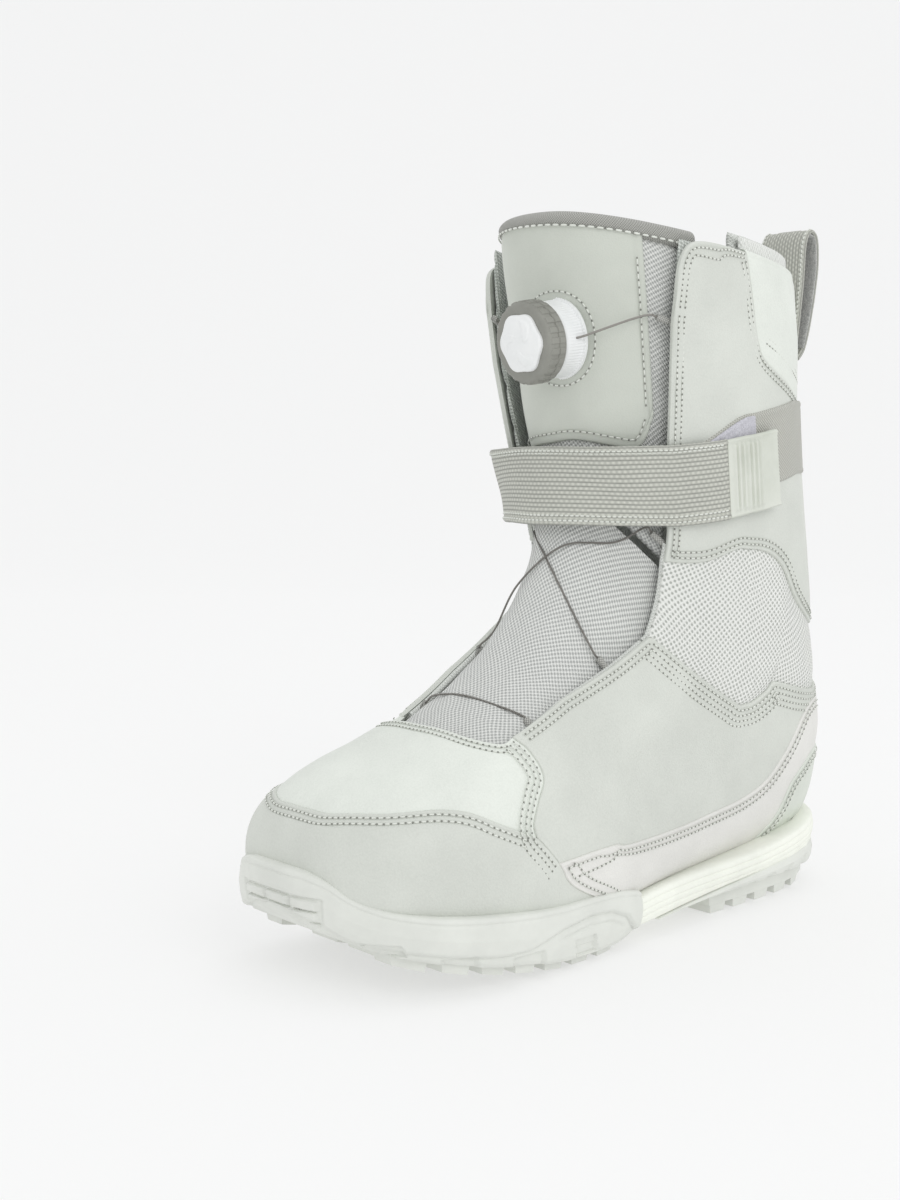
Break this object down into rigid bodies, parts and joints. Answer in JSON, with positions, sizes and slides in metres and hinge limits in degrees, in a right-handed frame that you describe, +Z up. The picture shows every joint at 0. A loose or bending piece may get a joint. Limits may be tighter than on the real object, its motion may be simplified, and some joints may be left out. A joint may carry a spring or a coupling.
{
  "type": "snowboard boot",
  "caption": "Leather snowboard boot with open flaps, padded tongue with a dial lace reel, ankle strap through a ring, stitched panels, rear pull loop and lugged cup sole.",
  "frame": {"origin": "on the ground under the middle of the boot's bounding box", "axes": "+Z up, toe towards -Y, lateral side of a left foot towards +X"},
  "size_m": [0.1228, 0.2958, 0.3147],
  "materials": {
    "upper_leather": "smooth, satin",
    "vamp_leather": "smooth, satin",
    "foxing_leather": "smooth, satin",
    "woven_mesh": "close woven",
    "counter_leather": "smooth, satin",
    "board": "fibre board",
    "liner_fabric": "padded, ribbed",
    "felt": "brushed",
    "tongue_mesh": "open woven",
    "lining_mesh": "spacer mesh",
    "binding": "bound edge tape",
    "outsole_rubber": "moulded, matt",
    "midsole_foam": "moulded foam, matt",
    "lace_steel": "stranded, coated",
    "white_plastic": "semi-gloss",
    "black_plastic": "satin",
    "grip_rubber": "soft, matt",
    "webbing": "woven webbing",
    "tab_rubber": "moulded, matt"
  },
  "bodies": {
    "foot": {"outsole_forefoot": "outsole_rubber", "outsole_heel": "outsole_rubber", "midsole": "midsole_foam", "lasting_board": "board", "footbed": "felt", "toe_cap": "upper_leather", "vamp": "vamp_leather", "quarter_lateral": "upper_leather", "quarter_medial": "upper_leather", "foxing_lateral": "foxing_leather", "foxing_medial": "foxing_leather", "heel_counter": "counter_leather", "ankle_mesh_lateral": "woven_mesh", "ankle_mesh_medial": "woven_mesh", "toe_puff": "board", "heel_stiffener": "board", "liner_foot": "liner_fabric", "liner_ankle": "liner_fabric", "tongue_lower": "tongue_mesh", "guide_instep_lateral": "binding", "guide_instep_medial": "binding", "guide_toe_lateral": "binding", "guide_toe_medial": "binding", "lace_instep_lateral": "lace_steel", "lace_instep_medial": "lace_steel", "lace_toe": "lace_steel", "lace_cross_lateral": "lace_steel", "lace_cross_medial": "lace_steel"},
    "cuff": {"cuff_lateral": "upper_leather", "cuff_medial": "upper_leather", "cuff_rear": "upper_leather", "lining_lateral": "lining_mesh", "lining_medial": "lining_mesh", "liner_cuff": "liner_fabric", "strap_anchor": "webbing", "strap_ring": "black_plastic", "loop_patch": "felt", "pull_loop_base": "webbing", "guide_top_lateral": "binding", "guide_top_medial": "binding", "guide_ankle_lateral": "binding", "guide_ankle_medial": "binding", "lace_flap_lateral": "lace_steel", "lace_flap_medial": "lace_steel"},
    "tongue": {"tongue_pad": "tongue_mesh", "tongue_shield": "upper_leather", "tongue_binding": "binding", "reel_housing": "white_plastic", "gusset_lateral": "tongue_mesh", "gusset_medial": "tongue_mesh", "lace_dial_lateral": "lace_steel", "lace_dial_medial": "lace_steel"},
    "dial_drive": {"reel_drive_disc": "black_plastic", "reel_spool": "black_plastic"},
    "knob": {"knob_grip": "grip_rubber", "knob_cap": "white_plastic"},
    "strap": {"strap_webbing": "webbing"},
    "strap_end": {"strap_tab": "tab_rubber"},
    "pull_loop": {"pull_loop_ribbon": "webbing"}
  },
  "joints": [
    {"name": "ankle_flex", "type": "hinge", "parent": "foot", "child": "cuff", "pos_m": [0.00088, 0.05611, 0.095], "axis": [1, 0, 0], "range_deg": [-4, 12], "stiffness_Nm_per_rad": 40, "deforming": ["ankle_mesh_lateral", "ankle_mesh_medial", "liner_ankle", "tongue_lower", "lace_cross_lateral", "lace_cross_medial"]},
    {"name": "strap_open", "type": "hinge", "parent": "cuff", "child": "strap", "pos_m": [-0.05413, 0.06618, 0.19082], "axis": [0.0519, 0.1363, -0.9893], "range_deg": [0, 100]},
    {"name": "tab_peel", "type": "hinge", "parent": "strap", "child": "strap_end", "pos_m": [0.05634, 0.04485, 0.19438], "axis": [-0.0656, 0.1404, -0.9879], "range_deg": [0, 100]},
    {"name": "tongue_fold", "type": "hinge", "parent": "cuff", "child": "tongue", "pos_m": [0.00088, -0.01089, 0.178], "axis": [1, 0, 0], "range_deg": [0, 24], "deforming": ["gusset_lateral", "gusset_medial", "lace_dial_lateral", "lace_dial_medial"]},
    {"name": "dial_turn", "type": "hinge", "parent": "tongue", "child": "dial_drive", "pos_m": [0.01174, -0.01506, 0.25561], "axis": [0, -0.9903, -0.1392], "continuous": true},
    {"name": "dial_pull", "type": "slide", "parent": "dial_drive", "child": "knob", "axis": [0, -0.9903, -0.1392], "range_m": [0, 0.003]},
    {"name": "pull_loop_swing", "type": "hinge", "parent": "cuff", "child": "pull_loop", "pos_m": [0.00088, 0.13271, 0.25], "axis": [-1, 0, 0], "range_deg": [0, 60], "stiffness_Nm_per_rad": 0.05}
  ],
  "couplings": [
    {"joint": "tab_peel", "follows": "strap_open", "ratio": 1},
    {"joint": "tongue_fold", "follows": "strap_open", "ratio": 0.22}
  ]
}
